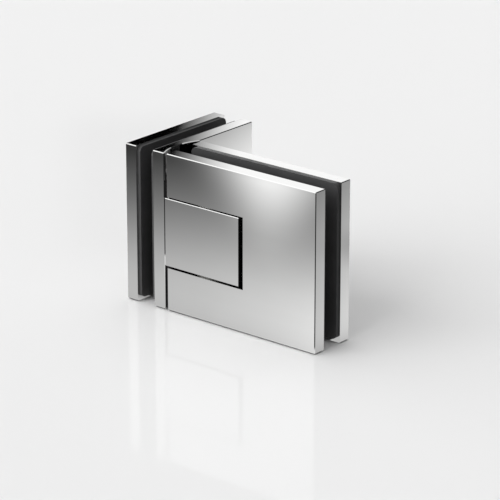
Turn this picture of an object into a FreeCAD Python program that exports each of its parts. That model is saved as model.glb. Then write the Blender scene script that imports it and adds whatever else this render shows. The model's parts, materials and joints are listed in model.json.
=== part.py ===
import FreeCAD, Part
import os, math

os.makedirs("parts", exist_ok=True)

V = FreeCAD.Vector

# ---------------------------------------------------------------------------
# Driving dimensions, millimetres.
# Hinge frame while building: x = 0 at the inner fixed plate's right face,
# +X along the door glass, +Y to the back, z = 0 at the plates' lower edges.
# ---------------------------------------------------------------------------
HEIGHT = 90.0             # height of all four plates
EDGE = 0.4                # chamfer on the plates' outside edges; edges facing the glass and the notch are sharp
BLOCK_EDGE = 0.3          # chamfer on the pivot block

# fixed clamp (its glass lies in the YZ plane)
FIX_LENGTH = 74.4         # front to back
FIX_OUTER_X0 = -28.0      # outer plate's left face
FIX_OUTER_T = 7.6         # outer plate's thickness
FIX_INNER_T = 8.0         # inner plate's thickness

# door clamp (its glass lies in the XZ plane)
DOOR_X0 = 1.4             # left edge of both door plates
DOOR_X1 = 104.4           # right edge
DOOR_T = 7.7              # thickness of a door plate
DOOR_GAP = 13.8           # between the door plates
NOTCH_X1 = 55.1           # right wall of the notch
NOTCH_Z0 = 24.5           # floor of the notch
NOTCH_Z1 = 65.5           # ceiling of the notch

# pivot block
BLOCK_X1 = 52.2
BLOCK_Z0 = 25.5
BLOCK_Z1 = 64.5
PIVOT_X = 26.0            # spindle axis
SCOOP_R = 30.0            # arc cut in the inner fixed plate about the axis

# gaskets
FIX_GASKET_T = 2.1
DOOR_GASKET_T = 1.9
GASKET_TOP = 0.7          # inset below the plates' top edge
GASKET_BOTTOM = 2.1       # inset above the plates' lower edge
GASKET_SIDE = 1.1         # inset from the plates' side edges
GASKET_CORNER = 3.0       # corner radius

# spindle, bearings
CAM_FLAT = 5.5            # half width of the square cam
CAM_CORNER_R = 6.5        # turned corners of the cam
CAM_Z0, CAM_Z1 = 35.0, 55.0
JOURNAL_R = 5.0
BUSH_IN_R = 5.05
BUSH_OUT_R = 7.0
SQUARE_HALF = 3.7         # half width of the spindle's square ends
SQUARE_CORNER_R = 4.95
SPINDLE_Z0, SPINDLE_Z1 = 10.2, 79.8
WASHER_T = 0.9
WASHER_R = 12.0
WASHER_IN_R = 5.15

# spindle holders, between the door plates
HOLDER_X0, HOLDER_X1 = 11.0, 49.5
HOLDER_H = 14.5
HOLDER_SCREW_X = (15.5, 35.5)
CLAMP_SCREW_X = 44.0

# fixed clamp screws
FIX_SCREW_Y = 40.0
FIX_SCREW_Z = (22.0, 68.0)

# block screws
BLOCK_SCREW_Y = (6.5, 22.7)
BLOCK_SCREW_Z = (33.0, 57.0)

# detents
PLUNGER_BORE_R = 4.5
PLUNGER_R = 4.44
PLUNGER_L = 6.2
PLUNGER_NOSE = 6.6        # nose to axis, held back clear of the cam's corners
SPRING_L = 8.1
SPRING_WIRE_R = 0.7
SPRING_MEAN_R = 3.3
SPRING_TURNS = 4.0
SET_SCREW_R = 5.0
SET_SCREW_L = 4.6

# ---------------------------------------------------------------------------
# Derived
# ---------------------------------------------------------------------------
DOOR_Y1 = DOOR_T
DOOR_Y2 = DOOR_T + DOOR_GAP
DOOR_Y3 = DOOR_T + DOOR_GAP + DOOR_T
PIVOT_Y = DOOR_Y3 / 2.0
FIX_OUTER_X1 = FIX_OUTER_X0 + FIX_OUTER_T
FIX_INNER_X0 = -FIX_INNER_T
MID_Z = HEIGHT / 2.0

# row frame: origin at the bottom centre of the whole hinge's box
SHIFT = V(-(FIX_OUTER_X0 + DOOR_X1) / 2.0, -FIX_LENGTH / 2.0, 0.0)

X, Y, Z = V(1, 0, 0), V(0, 1, 0), V(0, 0, 1)


def box(x0, x1, y0, y1, z0, z1):
    return Part.makeBox(x1 - x0, y1 - y0, z1 - z0, V(x0, y0, z0))


def cyl(r, length, at, axis):
    return Part.makeCylinder(r, length, at, axis)


def is_line(edge):
    return isinstance(edge.Curve, (Part.Line, Part.LineSegment))


def mid(edge):
    return edge.valueAt((edge.FirstParameter + edge.LastParameter) / 2.0)


def chamfered(shape, size, skip):
    edges = [e for e in shape.Edges if not skip(e)]
    return shape.makeChamfer(size, edges)


def rounded_sheet(u0, u1, v0, v1, r, to3d, normal, t):
    """Rounded rectangle sheet; to3d maps (u, v) to a point, t along normal."""
    k = math.sqrt(0.5)
    c = [(u1 - r, v0 + r), (u1 - r, v1 - r), (u0 + r, v1 - r), (u0 + r, v0 + r)]
    seq = [
        ("L", (u0 + r, v0), (u1 - r, v0)),
        ("A", (u1 - r, v0), (c[0][0] + r * k, c[0][1] - r * k), (u1, v0 + r)),
        ("L", (u1, v0 + r), (u1, v1 - r)),
        ("A", (u1, v1 - r), (c[1][0] + r * k, c[1][1] + r * k), (u1 - r, v1)),
        ("L", (u1 - r, v1), (u0 + r, v1)),
        ("A", (u0 + r, v1), (c[2][0] - r * k, c[2][1] + r * k), (u0, v1 - r)),
        ("L", (u0, v1 - r), (u0, v0 + r)),
        ("A", (u0, v0 + r), (c[3][0] - r * k, c[3][1] - r * k), (u0 + r, v0)),
    ]
    edges = []
    for s in seq:
        p = [to3d(*q) for q in s[1:]]
        if s[0] == "L":
            edges.append(Part.makeLine(p[0], p[1]))
        else:
            edges.append(Part.Arc(p[0], p[1], p[2]).toShape())
    face = Part.Face(Part.Wire(edges))
    return face.extrude(normal * t)


def turn_to(shape, at, direction):
    """Place a shape built along -Z from its top at the origin, so that it
    points along direction from the point at."""
    rot = FreeCAD.Rotation(V(0, 0, -1), direction)
    shape = shape.copy()
    shape.Placement = FreeCAD.Placement(at, rot)
    return shape


def hexagon(across_flats, depth):
    r = across_flats / math.sqrt(3.0)
    pts = [V(r * math.cos(math.radians(60 * i)),
             r * math.sin(math.radians(60 * i)), 0) for i in range(7)]
    return Part.Face(Part.makePolygon(pts)).extrude(V(0, 0, -depth))


def countersunk_screw(at, direction, shank_r, head_r, length, af, socket):
    cone = head_r - shank_r
    s = Part.makeCone(shank_r, head_r, cone, V(0, 0, -cone), Z)
    s = s.fuse(cyl(shank_r, length - 0.6 - cone, V(0, 0, -(length - 0.6)), Z))
    s = s.fuse(Part.makeCone(shank_r - 0.6, shank_r, 0.6, V(0, 0, -length), Z))
    s = s.cut(hexagon(af, socket))
    s = s.removeSplitter()
    return turn_to(s, at, direction)


def countersink(at, direction, head_r, sink, through_r, through_l):
    """Tool for a 90 degree countersink whose head seats sink below the
    surface, with a clearance hole."""
    r = head_r + sink
    lip = 0.5
    s = Part.makeCone(0.0, r + lip, r + lip, V(0, 0, -r), Z)
    s = s.fuse(cyl(through_r, through_l + lip, V(0, 0, -through_l), Z))
    return turn_to(s, at, direction)


def blind_hole(at, direction, r, depth):
    """Tool for a drilled blind hole with a 118 degree bottom."""
    tip = r / math.tan(math.radians(59.0))
    s = cyl(r, depth + 0.5, V(0, 0, -depth), Z)
    s = s.fuse(Part.makeCone(0.0, r, tip, V(0, 0, -depth - tip), Z))
    return turn_to(s, at, direction)


def cap_screw(at, direction, shank_r, head_r, head_h, length, af, socket):
    """Socket cap screw; at is the centre of the head's top."""
    s = cyl(head_r, head_h, V(0, 0, -head_h), Z)
    top = [e for e in s.Edges if abs(mid(e).z) < 1e-6 and not is_line(e)]
    s = s.makeChamfer(0.3, top)
    s = s.fuse(cyl(shank_r, length - 0.4, V(0, 0, -head_h - length + 0.4), Z))
    s = s.fuse(Part.makeCone(shank_r - 0.4, shank_r, 0.4, V(0, 0, -head_h - length), Z))
    s = s.cut(hexagon(af, socket))
    s = s.removeSplitter()
    return turn_to(s, at, direction)


PARTS = {}


def keep(name, shape, solids=1):
    shape = shape.copy()
    shape.translate(SHIFT)
    sol = shape.Solids
    assert len(sol) == solids, (name, len(sol))
    assert shape.isValid(), name
    out = sol[0] if solids == 1 else Part.makeCompound(sol)
    PARTS[name] = out
    out.exportStep("parts/%s.step" % name)


# ---------------------------------------------------------------------------
# Fixed clamp
# ---------------------------------------------------------------------------
FS_SINK = 0.1
fix_dir = V(-1, 0, 0)

outer = box(FIX_OUTER_X0, FIX_OUTER_X1, 0, FIX_LENGTH, 0, HEIGHT)
outer = chamfered(outer, EDGE, lambda e: abs(mid(e).x - FIX_OUTER_X1) < 1e-6)
for z in FIX_SCREW_Z:
    outer = outer.cut(blind_hole(V(FIX_OUTER_X1, FIX_SCREW_Y, z), fix_dir, 3.02, 5.0))
keep("fixed_outer_plate", outer)

inner = box(FIX_INNER_X0, 0, 0, FIX_LENGTH, 0, HEIGHT)
inner = chamfered(inner, EDGE, lambda e: abs(mid(e).x - FIX_INNER_X0) < 1e-6)
scoop_edge_x = PIVOT_X - math.sqrt(SCOOP_R ** 2 - PIVOT_Y ** 2)
tangent = V(-PIVOT_Y, PIVOT_X - scoop_edge_x, 0).normalize()
for z0, z1, flare_z, flare_way in ((BLOCK_Z1, HEIGHT + 1, HEIGHT, 1), (-1, BLOCK_Z0, 0, -1)):
    inner = inner.cut(cyl(SCOOP_R, z1 - z0, V(PIVOT_X, PIVOT_Y, z0), Z))
    # chamfer along the arc's edge
    flare = Part.makeCone(SCOOP_R, SCOOP_R + EDGE + 1, EDGE + 1,
                          V(PIVOT_X, PIVOT_Y, flare_z - flare_way * EDGE), Z * flare_way)
    inner = inner.cut(flare)
    # chamfer where the arc runs out through the front face
    foot = V(scoop_edge_x, 0, z0)
    p1 = foot + V(-EDGE, 0, 0)
    p2 = foot + tangent * EDGE
    out = V(1, -1, 0)
    tri = Part.Face(Part.makePolygon([p1, p2, p2 + out, p1 + out, p1])).extrude(V(0, 0, z1 - z0))
    inner = inner.cut(tri)
    # chamfer on the ledge that carries the block's seat
    ledge = z0 if flare_way > 0 else z1
    tri = Part.Face(Part.makePolygon([V(-EDGE, -1, ledge), V(0.2, -1, ledge - flare_way * (EDGE + 0.2)),
                                      V(0.2, -1, ledge + flare_way * 1), V(-EDGE, -1, ledge + flare_way * 1),
                                      V(-EDGE, -1, ledge)])).extrude(V(0, 1 + PIVOT_Y + math.sqrt(SCOOP_R ** 2 - PIVOT_X ** 2), 0))
    inner = inner.cut(tri)
for z in FIX_SCREW_Z:
    inner = inner.cut(countersink(V(0, FIX_SCREW_Y, z), fix_dir, 6.0, FS_SINK, 3.3, FIX_INNER_T + 1))
for y in BLOCK_SCREW_Y:
    for z in BLOCK_SCREW_Z:
        inner = inner.cut(countersink(V(FIX_INNER_X0, y, z), X, 5.0, FS_SINK, 2.75, FIX_INNER_T + 1))
keep("fixed_inner_plate", inner)

screws = []
sleeves = []
for z in FIX_SCREW_Z:
    screws.append(countersunk_screw(V(-FS_SINK, FIX_SCREW_Y, z), fix_dir, 3.0, 6.0, 25.0, 4.0, 2.4))
    s = cyl(4.5, FIX_INNER_X0 - 0.3 - FIX_OUTER_X1, V(FIX_OUTER_X1, FIX_SCREW_Y, z), X)
    sleeves.append(s.cut(cyl(3.25, 30, V(FIX_OUTER_X1 - 1, FIX_SCREW_Y, z), X)))
keep("fixed_clamp_screws", Part.makeCompound(screws), 2)
keep("fixed_screw_sleeves", Part.makeCompound(sleeves), 2)


def yz(x):
    return lambda u, v: V(x, u, v)


for name, x in (("fixed_outer_gasket", FIX_OUTER_X1), ("fixed_inner_gasket", FIX_INNER_X0 - FIX_GASKET_T)):
    g = rounded_sheet(GASKET_SIDE, FIX_LENGTH - GASKET_SIDE, GASKET_BOTTOM, HEIGHT - GASKET_TOP,
                      GASKET_CORNER, yz(x), X, FIX_GASKET_T)
    for z in FIX_SCREW_Z:
        g = g.cut(cyl(4.7, FIX_GASKET_T + 2, V(x - 1, FIX_SCREW_Y, z), X))
    keep(name, g)

# ---------------------------------------------------------------------------
# Pivot block with its bearings and detents
# ---------------------------------------------------------------------------
block = box(0, BLOCK_X1, 0, DOOR_Y3, BLOCK_Z0, BLOCK_Z1)
block = block.makeChamfer(BLOCK_EDGE, block.Edges)
block = block.cut(cyl(BUSH_OUT_R + 0.01, HEIGHT, V(PIVOT_X, PIVOT_Y, 0), Z))
block = block.cut(cyl(PLUNGER_BORE_R, BLOCK_X1 + 2, V(-1, PIVOT_Y, MID_Z), X))
block = block.cut(cyl(SET_SCREW_R + 0.02, 10.0, V(BLOCK_X1 - 9.0, PIVOT_Y, MID_Z), X))
for y in BLOCK_SCREW_Y:
    for z in BLOCK_SCREW_Z:
        block = block.cut(blind_hole(V(0, y, z), X, 2.52, 13.0))
keep("pivot_block", block)

bs = []
for y in BLOCK_SCREW_Y:
    for z in BLOCK_SCREW_Z:
        bs.append(countersunk_screw(V(FIX_INNER_X0 + FS_SINK, y, z), X, 2.5, 5.0, 20.0, 3.0, 1.9))
keep("block_screws", Part.makeCompound(bs), 4)


def ring(r_out, r_in, z0, z1):
    at = V(PIVOT_X, PIVOT_Y, z0)
    return cyl(r_out, z1 - z0, at, Z).cut(cyl(r_in, z1 - z0 + 2, at - Z, Z))


keep("upper_bush", ring(BUSH_OUT_R, BUSH_IN_R, CAM_Z1 + 0.1, BLOCK_Z1))
keep("lower_bush", ring(BUSH_OUT_R, BUSH_IN_R, BLOCK_Z0, CAM_Z0 - 0.1))
keep("upper_thrust_washer", ring(WASHER_R, WASHER_IN_R, BLOCK_Z1, BLOCK_Z1 + WASHER_T))
keep("lower_thrust_washer", ring(WASHER_R, WASHER_IN_R, BLOCK_Z0 - WASHER_T, BLOCK_Z0))


def square_bar(half, z0, z1):
    return box(PIVOT_X - half, PIVOT_X + half, PIVOT_Y - half, PIVOT_Y + half, z0, z1)


JOURNAL_Z0, JOURNAL_Z1 = NOTCH_Z0 + 0.05, NOTCH_Z1 - 0.05
spindle = cyl(JOURNAL_R, JOURNAL_Z1 - JOURNAL_Z0, V(PIVOT_X, PIVOT_Y, JOURNAL_Z0), Z)
cam = square_bar(CAM_FLAT, CAM_Z0, CAM_Z1).common(
    cyl(CAM_CORNER_R, HEIGHT, V(PIVOT_X, PIVOT_Y, 0), Z))
ends = square_bar(SQUARE_HALF, SPINDLE_Z0, SPINDLE_Z1).common(
    cyl(SQUARE_CORNER_R, HEIGHT, V(PIVOT_X, PIVOT_Y, 0), Z))
spindle = spindle.fuse(cam).fuse(ends).removeSplitter()
keep("spindle", spindle)


def plunger(nose_x, way):
    """way is +1 when the plunger points along +X."""
    s = cyl(PLUNGER_R, PLUNGER_L, V(nose_x - way * PLUNGER_L, PIVOT_Y, MID_Z), X * way)
    nose = [e for e in s.Edges if not is_line(e)]
    return s.makeChamfer(0.4, nose)


left_nose = PIVOT_X - PLUNGER_NOSE
right_nose = PIVOT_X + PLUNGER_NOSE
keep("left_detent_plunger", plunger(left_nose, 1))
keep("right_detent_plunger", plunger(right_nose, -1))


def spring(x0, x1):
    length = x1 - x0
    height = length - 2 * SPRING_WIRE_R
    helix = Part.makeHelix(height / SPRING_TURNS, height, SPRING_MEAN_R)
    circle = Part.Wire(Part.makeCircle(SPRING_WIRE_R, V(SPRING_MEAN_R, 0, 0), V(0, 1, 0)))
    s = Part.Wire(helix.Edges).makePipeShell([circle], True, True)
    s.Placement = FreeCAD.Placement(V(x0 + SPRING_WIRE_R, PIVOT_Y, MID_Z),
                                    FreeCAD.Rotation(V(0, 0, 1), V(1, 0, 0)))
    return s


l_back = left_nose - PLUNGER_L
r_back = right_nose + PLUNGER_L
keep("left_detent_spring", spring(l_back - SPRING_L, l_back))
keep("right_detent_spring", spring(r_back, r_back + SPRING_L))
keep("left_spring_plug", cyl(PLUNGER_BORE_R - 0.01, l_back - SPRING_L, V(0, PIVOT_Y, MID_Z), X))

set_x0 = r_back + SPRING_L
s = cyl(SET_SCREW_R, SET_SCREW_L, V(0, 0, -SET_SCREW_L), Z)
s = s.makeChamfer(0.5, [e for e in s.Edges if not is_line(e)])
s = s.cut(hexagon(5.0, 3.0))
keep("detent_adjusting_screw", turn_to(s, V(set_x0 + SET_SCREW_L, PIVOT_Y, MID_Z), V(-1, 0, 0)))

# ---------------------------------------------------------------------------
# Door clamp
# ---------------------------------------------------------------------------


def door_plate(y0, y1, glass_side):
    pts = [(DOOR_X0, 0), (DOOR_X1, 0), (DOOR_X1, HEIGHT), (DOOR_X0, HEIGHT),
           (DOOR_X0, NOTCH_Z1), (NOTCH_X1, NOTCH_Z1), (NOTCH_X1, NOTCH_Z0),
           (DOOR_X0, NOTCH_Z0), (DOOR_X0, 0)]
    wire = Part.makePolygon([V(x, y0, z) for x, z in pts])
    p = Part.Face(wire).extrude(V(0, y1 - y0, 0))

    def skip(e):
        m = mid(e)
        if abs(m.y - glass_side) < 1e-6:
            return True
        in_notch = m.x < NOTCH_X1 + 1e-6 and NOTCH_Z0 - 1e-6 < m.z < NOTCH_Z1 + 1e-6
        return in_notch and m.x > DOOR_X0 + 1e-6

    return chamfered(p, EDGE, skip)


HOLDER_Z = ((NOTCH_Z1, NOTCH_Z1 + HOLDER_H), (NOTCH_Z0 - HOLDER_H, NOTCH_Z0))
HOLDER_MID = tuple((a + b) / 2.0 for a, b in HOLDER_Z)
HOLDER_BACK = DOOR_Y2 - 0.1
CAP_H = 4.0
CAP_SEAT_Y = HOLDER_BACK - CAP_H - 0.1

front = door_plate(0, DOOR_Y1, DOOR_Y1)
back = door_plate(DOOR_Y2, DOOR_Y3, DOOR_Y2)
for z in HOLDER_MID:
    for x in HOLDER_SCREW_X:
        front = front.cut(blind_hole(V(x, DOOR_Y1, z), V(0, -1, 0), 2.02, 5.0))
    front = front.cut(blind_hole(V(CLAMP_SCREW_X, DOOR_Y1, z), V(0, -1, 0), 3.02, 4.4))
    back = back.cut(countersink(V(CLAMP_SCREW_X, DOOR_Y3, z), V(0, -1, 0), 6.0, FS_SINK, 3.3, DOOR_T + 1))
keep("door_front_plate", front)
keep("door_back_plate", back)

holder_screws = []
clamp_screws = []
for name, (z0, z1), zm in (("upper_spindle_holder", HOLDER_Z[0], HOLDER_MID[0]),
                           ("lower_spindle_holder", HOLDER_Z[1], HOLDER_MID[1])):
    h = box(HOLDER_X0, HOLDER_X1, DOOR_Y1, HOLDER_BACK, z0, z1)
    h = h.makeChamfer(0.3, [e for e in h.Edges if abs(mid(e).y - HOLDER_BACK) < 1e-6
                            or abs(mid(e).y - (DOOR_Y1 + HOLDER_BACK) / 2) < 1e-6])
    h = h.cut(square_bar(SQUARE_HALF + 0.02, z0 - 1, z1 + 1))
    for x in HOLDER_SCREW_X:
        h = h.cut(cyl(2.2, 30, V(x, 0, zm), Y))
        h = h.cut(cyl(3.6, 10, V(x, CAP_SEAT_Y, zm), Y))
        holder_screws.append(cap_screw(V(x, CAP_SEAT_Y + CAP_H, zm), V(0, -1, 0), 2.0, 3.5, CAP_H, 14.0, 3.0, 2.0))
    h = h.cut(cyl(3.3, 30, V(CLAMP_SCREW_X, 0, zm), Y))
    clamp_screws.append(countersunk_screw(V(CLAMP_SCREW_X, DOOR_Y3 - FS_SINK, zm), V(0, -1, 0), 3.0, 6.0, 25.0, 4.0, 2.4))
    keep(name, h)
keep("holder_screws", Part.makeCompound(holder_screws), 4)
keep("door_clamp_screws", Part.makeCompound(clamp_screws), 2)


def xz(y):
    return lambda u, v: V(u, y, v)


for name, y in (("door_front_gasket", DOOR_Y1), ("door_back_gasket", DOOR_Y2 - DOOR_GASKET_T)):
    g = rounded_sheet(DOOR_X0 + GASKET_SIDE, DOOR_X1 - GASKET_SIDE, GASKET_BOTTOM, HEIGHT - GASKET_TOP,
                      GASKET_CORNER, xz(y), Y, DOOR_GASKET_T)
    g = g.cut(box(DOOR_X0 - 5, HOLDER_X1 + 1.0, y - 1, y + 3, HOLDER_Z[1][0] - 1.0, HOLDER_Z[0][1] + 1.0))
    g = g.cut(box(DOOR_X0 - 5, NOTCH_X1 + GASKET_SIDE, y - 1, y + 3, NOTCH_Z0 - GASKET_SIDE, NOTCH_Z1 + GASKET_SIDE))
    keep(name, g)

total = 0.0
for name in sorted(PARTS):
    b = PARTS[name].BoundBox
    total += PARTS[name].Volume
    print("%-24s %9.1f mm3  x %7.2f %7.2f  y %7.2f %7.2f  z %6.2f %6.2f" % (
        name, PARTS[name].Volume, b.XMin, b.XMax, b.YMin, b.YMax, b.ZMin, b.ZMax))
print("nodes", len(PARTS), "volume", round(total, 1))
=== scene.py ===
import json
import math
import bpy
from mathutils import Matrix, Vector


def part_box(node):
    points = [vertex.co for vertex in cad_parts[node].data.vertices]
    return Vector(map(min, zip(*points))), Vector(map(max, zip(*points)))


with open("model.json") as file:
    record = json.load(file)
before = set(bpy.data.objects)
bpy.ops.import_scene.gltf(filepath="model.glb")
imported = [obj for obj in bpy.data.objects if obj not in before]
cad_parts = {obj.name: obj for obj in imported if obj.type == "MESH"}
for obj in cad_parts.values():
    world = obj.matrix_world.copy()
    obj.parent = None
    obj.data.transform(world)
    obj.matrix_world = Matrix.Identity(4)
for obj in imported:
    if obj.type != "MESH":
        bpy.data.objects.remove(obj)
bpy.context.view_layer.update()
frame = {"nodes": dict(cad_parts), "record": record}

scene = bpy.context.scene
nodes = frame["nodes"]

MM = 0.001
# the fixed clamp's right face meets the pivot block here: the hinge's own zero for x; y zero is the common front plane
block_lo, block_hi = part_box("pivot_block")
X0, Y0 = block_lo.x, block_lo.y


def at(x, y, z):
    """Point given in millimetres from the block's front left foot line."""
    return Vector((X0 + x * MM, Y0 + y * MM, z * MM))


# ---------------------------------------------------------------- camera
YAW, PITCH = -0.693587, 0.345590
cam_data = bpy.data.cameras.new("camera")
cam = bpy.data.objects.new("camera", cam_data)
scene.collection.objects.link(cam)
cam_data.sensor_width = 36.0
cam_data.lens = 2877.534 * 36.0 / 500.0
cam_data.clip_start, cam_data.clip_end = 0.05, 50.0
fwd = Vector((math.sin(YAW) * math.cos(PITCH), math.cos(YAW) * math.cos(PITCH), -math.sin(PITCH)))
right = Vector((math.cos(YAW), -math.sin(YAW), 0.0))
up = right.cross(fwd)
cam.matrix_world = Matrix((
    (right.x, up.x, -fwd.x, 0), (right.y, up.y, -fwd.y, 0), (right.z, up.z, -fwd.z, 0), (0, 0, 0, 1)))
cam.location = at(977.767, -1103.755, 565.230)
scene.camera = cam

scene.view_settings.view_transform = "Standard"
scene.view_settings.look = "None"


# ---------------------------------------------------------------- node helpers
def new_material(name):
    m = bpy.data.materials.new(name)
    m.use_nodes = True
    m.node_tree.nodes.clear()
    return m


class Net:
    def __init__(self, tree):
        self.t = tree

    def node(self, kind, **props):
        n = self.t.nodes.new(kind)
        for k, v in props.items():
            setattr(n, k, v)
        return n

    def put(self, socket, value):
        if isinstance(value, (int, float)):
            socket.default_value = value
        elif isinstance(value, tuple):
            socket.default_value = value
        else:
            self.t.links.new(value, socket)

    def math(self, op, a, b=0.0, c=None, clamp=False):
        n = self.node("ShaderNodeMath", operation=op, use_clamp=clamp)
        self.put(n.inputs[0], a)
        self.put(n.inputs[1], b)
        if c is not None:
            self.put(n.inputs[2], c)
        return n.outputs[0]

    def noise(self, vector, scale, detail=2.0, rough=0.5, distortion=0.0):
        n = self.node("ShaderNodeTexNoise")
        self.t.links.new(vector, n.inputs["Vector"])
        n.inputs["Scale"].default_value = scale
        n.inputs["Detail"].default_value = detail
        n.inputs["Roughness"].default_value = rough
        n.inputs["Distortion"].default_value = distortion
        return n

    def ramp(self, fac, stops, interpolation="LINEAR"):
        n = self.node("ShaderNodeValToRGB")
        n.color_ramp.interpolation = interpolation
        el = n.color_ramp.elements
        while len(el) < len(stops):
            el.new(0.5)
        for e, (p, c) in zip(el, stops):
            e.position = p
            e.color = c if len(c) == 4 else (*c, 1.0)
        self.put(n.inputs[0], fac)
        return n.outputs[0]

    def stretch(self, vector, scale):
        n = self.node("ShaderNodeMapping")
        n.inputs["Scale"].default_value = scale
        self.t.links.new(vector, n.inputs["Vector"])
        return n.outputs[0]


def principled(net):
    out = net.node("ShaderNodeOutputMaterial")
    b = net.node("ShaderNodeBsdfPrincipled")
    net.t.links.new(b.outputs[0], out.inputs[0])
    return b


def grey(v):
    return (v, v, v)


# ---------------------------------------------------------------- object materials
def chrome():
    m = new_material("polished_chrome")
    net = Net(m.node_tree)
    b = principled(net)
    obj = net.node("ShaderNodeTexCoord").outputs["Object"]
    b.inputs["Metallic"].default_value = 1.0
    # very slight unevenness of the plating's colour
    cloud = net.noise(obj, 22.0, 3.0, 0.55).outputs[0]
    col = net.ramp(cloud, [(0.3, (0.592, 0.592, 0.588)), (0.7, (0.612, 0.612, 0.608))])
    net.put(b.inputs["Base Color"], col)
    # hand polish: faint cloudiness and hairlines in the gloss
    hair = net.noise(net.stretch(obj, (1.0, 1.0, 0.06)), 2600.0, 2.0, 0.6).outputs[0]
    soft = net.noise(obj, 60.0, 3.0, 0.6).outputs[0]
    mix = net.math("ADD", net.math("MULTIPLY", hair, 0.35), net.math("MULTIPLY", soft, 0.65))
    rough = net.node("ShaderNodeMapRange")
    net.put(rough.inputs["Value"], mix)
    rough.inputs["From Min"].default_value = 0.3
    rough.inputs["From Max"].default_value = 0.7
    rough.inputs["To Min"].default_value = 0.022
    rough.inputs["To Max"].default_value = 0.04
    net.put(b.inputs["Roughness"], rough.outputs[0])
    wav = net.noise(obj, 35.0, 2.0, 0.5).outputs[0]
    bump = net.node("ShaderNodeBump")
    bump.inputs["Strength"].default_value = 0.25
    bump.inputs["Distance"].default_value = 0.000012
    net.put(bump.inputs["Height"], wav)
    net.put(b.inputs["Normal"], bump.outputs[0])
    return m


def rubber():
    m = new_material("gasket_rubber")
    net = Net(m.node_tree)
    b = principled(net)
    obj = net.node("ShaderNodeTexCoord").outputs["Object"]
    cloud = net.noise(obj, 90.0, 4.0, 0.6).outputs[0]
    col = net.ramp(cloud, [(0.3, (0.043, 0.043, 0.044)), (0.7, (0.053, 0.053, 0.054))])
    net.put(b.inputs["Base Color"], col)
    b.inputs["Specular IOR Level"].default_value = 0.3
    grain = net.noise(obj, 2600.0, 3.0, 0.6).outputs[0]
    r = net.node("ShaderNodeMapRange")
    net.put(r.inputs["Value"], grain)
    r.inputs["To Min"].default_value = 0.50
    r.inputs["To Max"].default_value = 0.66
    net.put(b.inputs["Roughness"], r.outputs[0])
    bump = net.node("ShaderNodeBump")
    bump.inputs["Strength"].default_value = 0.5
    bump.inputs["Distance"].default_value = 0.00004
    net.put(bump.inputs["Height"], grain)
    net.put(b.inputs["Normal"], bump.outputs[0])
    return m


def metal(name, dark, light, rough_lo, rough_hi, stretch=(1.0, 1.0, 1.0), scale=900.0):
    m = new_material(name)
    net = Net(m.node_tree)
    b = principled(net)
    b.inputs["Metallic"].default_value = 1.0
    obj = net.node("ShaderNodeTexCoord").outputs["Object"]
    grain = net.noise(net.stretch(obj, stretch), scale, 3.0, 0.6).outputs[0]
    net.put(b.inputs["Base Color"], net.ramp(grain, [(0.3, dark), (0.7, light)]))
    r = net.node("ShaderNodeMapRange")
    net.put(r.inputs["Value"], grain)
    r.inputs["To Min"].default_value = rough_lo
    r.inputs["To Max"].default_value = rough_hi
    net.put(b.inputs["Roughness"], r.outputs[0])
    bump = net.node("ShaderNodeBump")
    bump.inputs["Strength"].default_value = 0.3
    bump.inputs["Distance"].default_value = 0.00002
    net.put(bump.inputs["Height"], grain)
    net.put(b.inputs["Normal"], bump.outputs[0])
    return m


def plastic():
    m = new_material("bearing_plastic")
    net = Net(m.node_tree)
    b = principled(net)
    obj = net.node("ShaderNodeTexCoord").outputs["Object"]
    cloud = net.noise(obj, 150.0, 3.0, 0.6).outputs[0]
    net.put(b.inputs["Base Color"], net.ramp(cloud, [(0.3, (0.74, 0.74, 0.70)), (0.7, (0.80, 0.80, 0.77))]))
    r = net.node("ShaderNodeMapRange")
    net.put(r.inputs["Value"], cloud)
    r.inputs["To Min"].default_value = 0.38
    r.inputs["To Max"].default_value = 0.5
    net.put(b.inputs["Roughness"], r.outputs[0])
    return m


finishes = {
    "polished_chrome": chrome(),
    "gasket_rubber": rubber(),
    "screw_steel": metal("screw_steel", grey(0.42), grey(0.52), 0.22, 0.38),
    "satin_steel": metal("satin_steel", grey(0.36), grey(0.44), 0.30, 0.45, (1.0, 1.0, 0.08), 1800.0),
    "hardened_steel": metal("hardened_steel", grey(0.34), grey(0.42), 0.20, 0.32),
    "spring_steel": metal("spring_steel", grey(0.25), grey(0.33), 0.28, 0.42),
    "bearing_brass": metal("bearing_brass", (0.52, 0.36, 0.13), (0.62, 0.45, 0.18), 0.24, 0.4),
    "bearing_plastic": plastic(),
}
for sub in frame["record"]["subparts"]:
    ob = nodes[sub["node"]]
    finish = finishes[sub["material_slot"]]
    for s in ob.material_slots:
        s.material = finish
    if not ob.material_slots:
        ob.data.materials.append(finish)


# ---------------------------------------------------------------- floor
def plane(name, corners):
    me = bpy.data.meshes.new(name)
    me.from_pydata([tuple(c) for c in corners], [], [tuple(range(len(corners)))])
    ob = bpy.data.objects.new(name, me)
    scene.collection.objects.link(ob)
    return ob


def visible(ob, camera=False, diffuse=False, glossy=False, shadow=False):
    ob.visible_camera = camera
    ob.visible_diffuse = diffuse
    ob.visible_glossy = glossy
    ob.visible_transmission = False
    ob.visible_volume_scatter = False
    ob.visible_shadow = shadow


F = 6.0
# the plates' lower edges stand half a millimetre clear of the floor, which leaves the fine dark line under them
FLOOR_Z = -0.00055
floor = plane("floor", [(-F, -F, FLOOR_Z), (F, -F, FLOOR_Z), (F, F, FLOOR_Z), (-F, F, FLOOR_Z)])
m = new_material("floor")
net = Net(m.node_tree)
b = principled(net)
pos = net.node("ShaderNodeNewGeometry").outputs["Position"]
cloud = net.noise(pos, 3.0, 2.0, 0.5).outputs[0]
net.put(b.inputs["Base Color"], net.ramp(cloud, [(0.0, grey(0.785)), (1.0, grey(0.795))]))
b.inputs["Roughness"].default_value = 0.02
b.inputs["IOR"].default_value = 1.055
floor.data.materials.append(m)
visible(floor, camera=True, diffuse=True, glossy=False, shadow=True)


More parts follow.
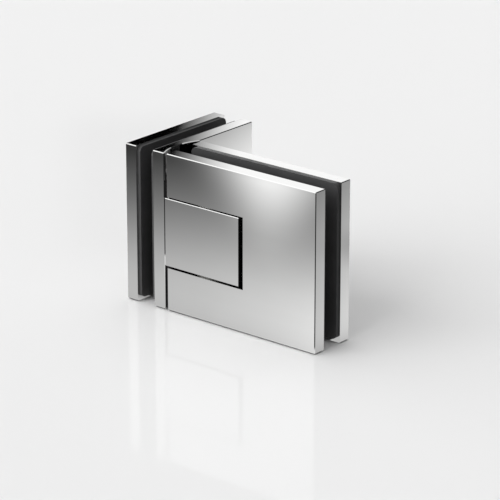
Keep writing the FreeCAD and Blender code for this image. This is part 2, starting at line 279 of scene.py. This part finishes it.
def emission(name):
    m = new_material(name)
    net = Net(m.node_tree)
    out = net.node("ShaderNodeOutputMaterial")
    e = net.node("ShaderNodeEmission")
    net.t.links.new(e.outputs[0], out.inputs[0])
    return m, net, e


def smooth(net, value, lo, hi, to_lo=0.0, to_hi=1.0, kind="SMOOTHSTEP"):
    r = net.node("ShaderNodeMapRange", interpolation_type=kind)
    net.put(r.inputs["Value"], value)
    r.inputs["From Min"].default_value = lo
    r.inputs["From Max"].default_value = hi
    r.inputs["To Min"].default_value = to_lo
    r.inputs["To Max"].default_value = to_hi
    return r.outputs[0]


def poly(net, terms):
    total = None
    for k, fx in terms:
        v = net.math("MULTIPLY", fx, k) if fx is not None else k
        total = v if total is None else net.math("ADD", total, v)
    return total


def mix(net, a, b, t):
    return net.math("ADD", net.math("MULTIPLY", a, net.math("SUBTRACT", 1.0, t)), net.math("MULTIPLY", b, t))


def clamp(net, v, lo, hi):
    return net.math("MAXIMUM", net.math("MINIMUM", v, hi), lo)


# Painted reflection of the studio floor: a glowing sheet, seen only in reflections, lies just under the real floor; its
# brightness is painted light and shade, falling off from a painted pool of light at the front left.  Lengths in units
# of 100 mm from the block's front left foot.
LIFT = FLOOR_Z - 0.0002
seen = plane("painted_floor_reflection", [(-F, -F, LIFT), (F, -F, LIFT), (F, F, LIFT), (-F, F, LIFT)])
m, net, e = emission("painted_floor_reflection")
sep = net.node("ShaderNodeSeparateXYZ")
net.t.links.new(net.node("ShaderNodeNewGeometry").outputs["Position"], sep.inputs[0])
X = net.math("MULTIPLY", net.math("SUBTRACT", sep.outputs[0], X0), 10.0)
Y = net.math("MULTIPLY", net.math("SUBTRACT", sep.outputs[1], Y0), 10.0)


def gauss(net, cx, cy, sx, sy=None):
    sy = sy or sx
    dx = net.math("DIVIDE", net.math("SUBTRACT", X, cx), sx)
    dy = net.math("DIVIDE", net.math("SUBTRACT", Y, cy), sy)
    q = net.math("ADD", net.math("MULTIPLY", dx, dx), net.math("MULTIPLY", dy, dy))
    return net.math("EXPONENT", net.math("MULTIPLY", q, -0.5))


# Seen in the front faces: run back along the reflected ray, a floor point lies at height up and distance over on
# the front plane.  The painted floor is bright at the foot of the hinge, darkens further out, and has one painted pool
# of light.
over = clamp(net, net.math("SUBTRACT", X, net.math("MULTIPLY", Y, 0.8326)), -0.5, 1.2)
height = net.math("DIVIDE", Y, -2.139)
fall = net.math("MULTIPLY", net.ramp(height, [
    (0.03, grey(0.9391)), (0.06, grey(0.9546)), (0.12, grey(0.9648)), (0.20, grey(0.9513)), (0.30, grey(0.9054)),
    (0.40, grey(0.8305)), (0.50, grey(0.7323)), (0.60, grey(0.6235)), (0.70, grey(0.5020)), (0.78, grey(0.3838)),
    (0.84, grey(0.2793)), (0.89, grey(0.1871)), (0.95, grey(0.0239))]), 2.1)
zc = clamp(net, height, 0.0, 1.0)
k1 = net.math("ADD", net.math("MULTIPLY", zc, net.math("ADD", net.math("MULTIPLY", zc, -0.0806), 0.4764)), 0.2549)
k2 = net.math("ADD", net.math("MULTIPLY", zc, -0.5758), 0.1953)
dx = net.math("SUBTRACT", over, 0.4)
slope = net.math("ADD", net.math("MULTIPLY", k1, dx), net.math("MULTIPLY", k2, net.math("MULTIPLY", dx, dx)))
front = net.math("EXPONENT", net.math("ADD", net.math("SUBTRACT", fall, 2.1), slope))
# painted light: the pool of light is painted into the sheet's glow
painted_light_pool = net.math("MULTIPLY", net.ramp(height, [
    (0.40, grey(0.0)), (0.50, grey(0.0465)), (0.60, grey(0.1438)), (0.70, grey(0.3262)), (0.78, grey(0.5165)),
    (0.84, grey(0.6748)), (0.89, grey(0.8025)), (0.95, grey(0.9767))]), 1.3)
mid_x = net.math("ADD", net.math("MULTIPLY", net.math("SUBTRACT", zc, 0.7), 0.0993), 0.7371)
wide = net.math("ADD", net.math("MULTIPLY", net.math("SUBTRACT", zc, 0.7), 0.3), 0.1874)
wide = net.math("MAXIMUM", wide, 0.05)
g = net.math("DIVIDE", net.math("SUBTRACT", over, mid_x), wide)
painted_light_pool = net.math("MULTIPLY", painted_light_pool, net.math("EXPONENT", net.math("MULTIPLY", net.math("MULTIPLY", g, g), -0.5)))
front = net.math("ADD", front, painted_light_pool)

# painted reflection seen in the right faces; painted shade makes it darker up to the door plates' right end, fading
# beyond it
Xr, Yr = clamp(net, X, 0.3, 2.7), clamp(net, Y, -0.2, 2.9)
painted_foot_shade = net.math("EXPONENT", net.math("MULTIPLY", net.math("MAXIMUM", net.math("SUBTRACT", X, 1.044), 0.0), -11.23))
back = net.math("EXPONENT", poly(net, [
    (1.0, net.math("ADD", net.math("MULTIPLY", Xr, 0.4394), 0.3636)), (-0.2227, Yr),
    (-0.8076, net.math("MULTIPLY", Xr, Xr)), (0.9662, net.math("MULTIPLY", Xr, Yr)),
    (-0.3644, net.math("MULTIPLY", Yr, Yr)), (-0.4216, painted_foot_shade)]))


def patch(net, x0, x1, y0, y1, soft):
    """Rectangle with a soft rim outside it; soft gives the rim's width at x0, x1, y0 and y1."""
    a = net.math("MULTIPLY", smooth(net, X, x0 - soft[0], x0),
                 net.math("SUBTRACT", 1.0, smooth(net, X, x1, x1 + soft[1])))
    b = net.math("MULTIPLY", smooth(net, Y, y0 - soft[2], y0),
                 net.math("SUBTRACT", 1.0, smooth(net, Y, y1, y1 + soft[3])))
    return net.math("MULTIPLY", a, b)


# painted shade: the inner corner right behind the pivot is painted dark, where it gets little light
painted_corner_shade = patch(net, -0.04, 0.22, 0.2, 0.66, (0.5, 0.5, 0.25, 0.6))
# The inner plate's own right face sees a strip further back.  Nearer, between that strip and the floor seen by the
# door plates' ends, lies what the scooped gap sees: painted dark, with one painted thin gleam.
w = net.math("SUBTRACT", Y, net.math("MULTIPLY", net.math("SUBTRACT", X, 1.044), 1.2))
far_y = net.math("SUBTRACT", w, 1.253)
strip = net.math("ADD", net.math("ADD", net.math("MULTIPLY", clamp(net, far_y, 0.3, 0.85), 0.66), 0.54),
                 net.math("MULTIPLY", net.math("SUBTRACT", 1.75, clamp(net, X, 1.3, 2.0)), 0.9))
painted_gleam = net.math("ADD", net.math("MULTIPLY", gauss(net, 1.41, 1.93, 0.035), 1.3),
                 net.math("MULTIPLY", gauss(net, 1.57, 2.06, 0.09), 0.35))
back = mix(net, back, strip, net.math("MULTIPLY", smooth(net, X, 1.34, 1.44), smooth(net, Y, 2.28, 2.42)))
painted_gap_dark = net.math("MAXIMUM", patch(net, 0.9, 1.66, 1.8, 2.28, (0.6, 0.6, 0.7, 0.1)),
               patch(net, 0.86, 1.3, 2.2, 2.48, (0.6, 0.12, 0.7, 0.5)))
back = mix(net, back, net.math("ADD", painted_gleam, 0.02), painted_gap_dark)
back = mix(net, back, 0.02, painted_corner_shade)
# the two meet along the common front plane, softly on the left where no face shows the join
left_side = smooth(net, net.math("SUBTRACT", net.math("MULTIPLY", Y, 0.8326), X), 0.32, 0.5)
mixed = mix(net, front, back, mix(net, smooth(net, Y, -0.01, 0.02), smooth(net, Y, -0.9, 0.9), left_side))

# painted shade: a wedge of the sheet to the front right, which only the upright bevels see, is black, painting dark
# lines in them
v1 = net.math("SUBTRACT", net.math("SUBTRACT", X, net.math("MULTIPLY", Y, 0.8326)), 1.12)
v2 = net.math("ADD", Y, net.math("MULTIPLY", net.math("SUBTRACT", X, 1.044), 0.12))
painted_dark_wedge = net.math("MULTIPLY", smooth(net, v1, 0.0, 0.08), net.math("SUBTRACT", 1.0, smooth(net, v2, -0.08, 0.0)))
mixed = mix(net, mixed, 0.03, painted_dark_wedge)

# painted shadow: the sheet is painted dark under the plates and the slots between them, where they stand at rest, as no
# light reaches the floor under the hinge itself
W = 0.004


def inside(net, x0, x1, y0, y1):
    a = net.math("MULTIPLY", smooth(net, X, x0 - W, x0 + W), net.math("SUBTRACT", 1.0, smooth(net, X, x1 - W, x1 + W)))
    b = net.math("MULTIPLY", smooth(net, Y, y0 - W, y0 + W), net.math("SUBTRACT", 1.0, smooth(net, Y, y1 - W, y1 + W)))
    return net.math("MULTIPLY", a, b)


(fo_lo, fo_hi), (fi_lo, fi_hi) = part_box("fixed_outer_plate"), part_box("fixed_inner_plate")
(df_lo, df_hi), (db_lo, db_hi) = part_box("door_front_plate"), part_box("door_back_plate")


def hx(v):
    return (v - X0) * 10.0


def hy(v):
    return (v - Y0) * 10.0


foot = inside(net, hx(fo_lo.x), hx(fo_hi.x), hy(fo_lo.y), hy(fo_hi.y))
for x0, x1, y0, y1 in ((hx(fi_lo.x), hx(fi_hi.x), hy(fi_lo.y), hy(fi_hi.y)),
                       (hx(df_lo.x), hx(df_hi.x), hy(df_lo.y), hy(df_hi.y)),
                       (hx(db_lo.x), hx(db_hi.x), hy(db_lo.y), hy(db_hi.y)),
                       (hx(fi_hi.x) - 0.05, hx(df_hi.x) - 0.08, hy(df_lo.y), hy(db_hi.y)),
                       (hx(fo_hi.x), hx(fi_lo.x), hy(fo_lo.y) + 0.12, hy(fo_hi.y))):
    foot = net.math("MAXIMUM", foot, inside(net, x0, x1, y0, y1))
net.put(e.inputs["Strength"], mix(net, mixed, 0.02, foot))
seen.data.materials.append(m)
visible(seen, glossy=True)

# ---------------------------------------------------------------- studio cards, seen only in reflections
h_fwd = Vector((math.sin(YAW), math.cos(YAW), 0.0))
UP = Vector((0, 0, 1))


def card(name, centre, u, v, half_u, half_v, build):
    """Glowing card; build gets the node net, the emission node, and metres along u and v from the centre."""
    c = Vector(centre)
    ob = plane(name, [c - u * half_u - v * half_v, c + u * half_u - v * half_v,
                      c + u * half_u + v * half_v, c - u * half_u + v * half_v])
    uv = ob.data.uv_layers.new(name="UVMap")
    for i, co in enumerate(((0, 0), (1, 0), (1, 1), (0, 1))):
        uv.data[i].uv = co
    m, net, e = emission(name)
    s = net.node("ShaderNodeSeparateXYZ")
    net.t.links.new(net.node("ShaderNodeTexCoord").outputs["UV"], s.inputs[0])
    a = net.math("MULTIPLY", net.math("SUBTRACT", s.outputs[0], 0.5), 2.0 * half_u)
    b = net.math("MULTIPLY", net.math("SUBTRACT", s.outputs[1], 0.5), 2.0 * half_v)
    build(net, e, a, b)
    ob.data.materials.append(m)
    visible(ob, glossy=True)
    return ob


D = 12.0
BACK_Z = 3.85


def back_card(net, e, a, b):
    # a white backdrop with a black flag on its left, soft at the flag's edge
    s = net.math("ADD", a, net.math("MULTIPLY", b, 0.204))
    stops = [(-0.36, 0.0), (-0.34, 0.109), (-0.30, 0.254), (-0.24, 0.533), (-0.18, 0.838),
             (-0.12, 1.110), (-0.08, 1.272), (-0.04, 1.410), (0.0, 1.43)]
    t = smooth(net, s, -0.4, 0.0, kind="LINEAR")
    level = net.ramp(t, [((p + 0.4) / 0.4, grey(l / 1.43)) for p, l in stops])
    level = net.math("MULTIPLY", level, 1.43)
    # the flag's own extent
    flag = net.math("MULTIPLY", smooth(net, b, -0.35, -0.16), net.math("SUBTRACT", 1.0, smooth(net, b, 0.34, 0.55)))
    flag = net.math("MULTIPLY", flag, smooth(net, a, -1.05, -0.75))
    level = mix(net, 1.43, level, flag)
    net.put(e.inputs["Strength"], mix(net, level, 0.3, smooth(net, b, 0.35, 1.2)))


card("card_back", h_fwd * D + UP * BACK_Z, right, UP, 5.0, 2.6, back_card)


def flat_card(level):
    def build(net, e, a, b):
        e.inputs["Strength"].default_value = level
    return build


def toward(direction, distance, level, half_u, half_v, name, lift=0.0):
    d = Vector(direction).normalized()
    u = d.cross(UP).normalized()
    v = u.cross(d).normalized()
    return card(name, d * distance + UP * lift, u, v, half_u, half_v, flat_card(level))


# seen in the bevels of the top front edges
toward((-0.602, -0.338, 0.723), 2.0, 1.75, 0.7, 0.5, "card_left")
# seen, through the front faces, in the floor's own gloss
toward((-0.602, -0.723, 0.338), 3.0, 6.75, 1.0, 0.62, "card_front")

# overhead softbox, for the faces that lie level when they are looked down on
card("card_top", (0.0, 0.0, 3.0), Vector((1, 0, 0)), Vector((0, -1, 0)), 2.2, 2.2,
     lambda net, e, a, b: net.put(e.inputs["Strength"], smooth(net, b, -2.2, 2.2, 0.95, 0.7)))

# pale walls round the rest of the studio, for the faces that the photograph's side doesn't show
WALL_R = 9.0


def wall(az0, az1, level, name):
    a0, a1 = math.radians(az0), math.radians(az1)
    m, w0 = (a0 + a1) / 2.0, (a1 - a0) / 2.0
    d = Vector((math.cos(m), math.sin(m), 0.0))
    u = UP.cross(d)

    def build(net, e, a, b):
        net.put(e.inputs["Strength"], smooth(net, b, -1.5, 3.5, level, level * 0.55))
    card(name, d * WALL_R + UP * 3.0, u, UP, WALL_R * math.tan(w0), 3.5, build)


wall(158, 200, 1.0, "wall_left")
wall(262, 300, 0.9, "wall_front")
wall(310, 350, 1.1, "wall_right")
wall(78, 104, 0.9, "wall_back")

# ---------------------------------------------------------------- world and lights
world = bpy.data.worlds.new("studio")
scene.world = world
world.use_nodes = True
bg = world.node_tree.nodes["Background"]
bg.inputs[0].default_value = (1, 1, 1, 1)
bg.inputs[1].default_value = 0.04


def soft_sun(name, azimuth, elevation, strength, spread=60.0):
    """Soft light from the given side of the studio, degrees."""
    az, el = math.radians(azimuth), math.radians(elevation)
    toward_light = Vector((math.cos(az) * math.cos(el), math.sin(az) * math.cos(el), math.sin(el)))
    l = bpy.data.lights.new(name, "SUN")
    l.energy = strength
    l.angle = math.radians(spread)
    ob = bpy.data.objects.new(name, l)
    scene.collection.objects.link(ob)
    ob.rotation_mode = "QUATERNION"
    ob.rotation_quaternion = (-toward_light).to_track_quat("-Z", "Y")
    ob.visible_glossy = False
    return ob


soft_sun("light_front", 255, 30, 2.42)
soft_sun("light_left", 195, 30, 1.2)
soft_sun("light_right", 335, 45, 0.62)
soft_sun("light_back", 120, 60, 0.83)
soft_sun("light_top", 90, 75, 0.33)
